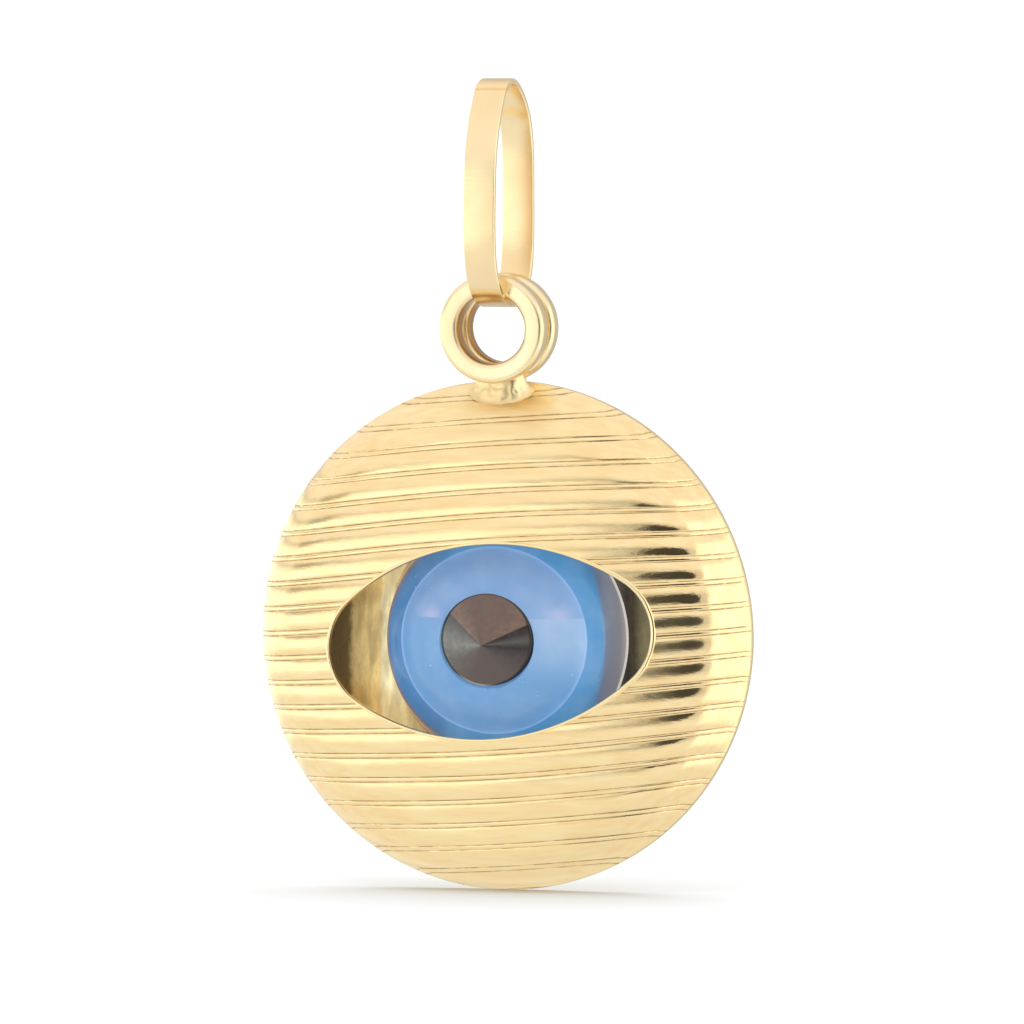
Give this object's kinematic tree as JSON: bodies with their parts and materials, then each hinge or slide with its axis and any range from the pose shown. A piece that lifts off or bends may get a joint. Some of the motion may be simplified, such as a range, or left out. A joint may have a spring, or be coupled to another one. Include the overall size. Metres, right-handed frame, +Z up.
{
  "type": "evil eye pendant",
  "caption": "Round gold pendant: a ribbed domed disc with an almond opening over a blue glass eye, hanging by rings from a flat oval bail.",
  "frame": {"origin": "middle of the bail's inner top, where the chain lies", "axes": "+Z up, +X to the right as seen from the front, the front faces -Y"},
  "size_m": [0.0159, 0.0044, 0.0253],
  "materials": {
    "bail_gold": "polished yellow gold",
    "case_gold": "polished yellow gold",
    "blue_glass": "polished",
    "iris_glass": "polished",
    "pupil_glass": "polished"
  },
  "bodies": {
    "bail": {"bail": "bail_gold"},
    "drop": {"ring_case": "case_gold", "glass_eye": "blue_glass", "iris": "iris_glass", "pupil": "pupil_glass"}
  },
  "joints": [
    {"name": "drop_swing", "type": "hinge", "parent": "bail", "child": "drop", "pos_m": [0, 0, -0.00759], "axis": [0, 1, 0], "range_deg": [-110, 110]}
  ]
}
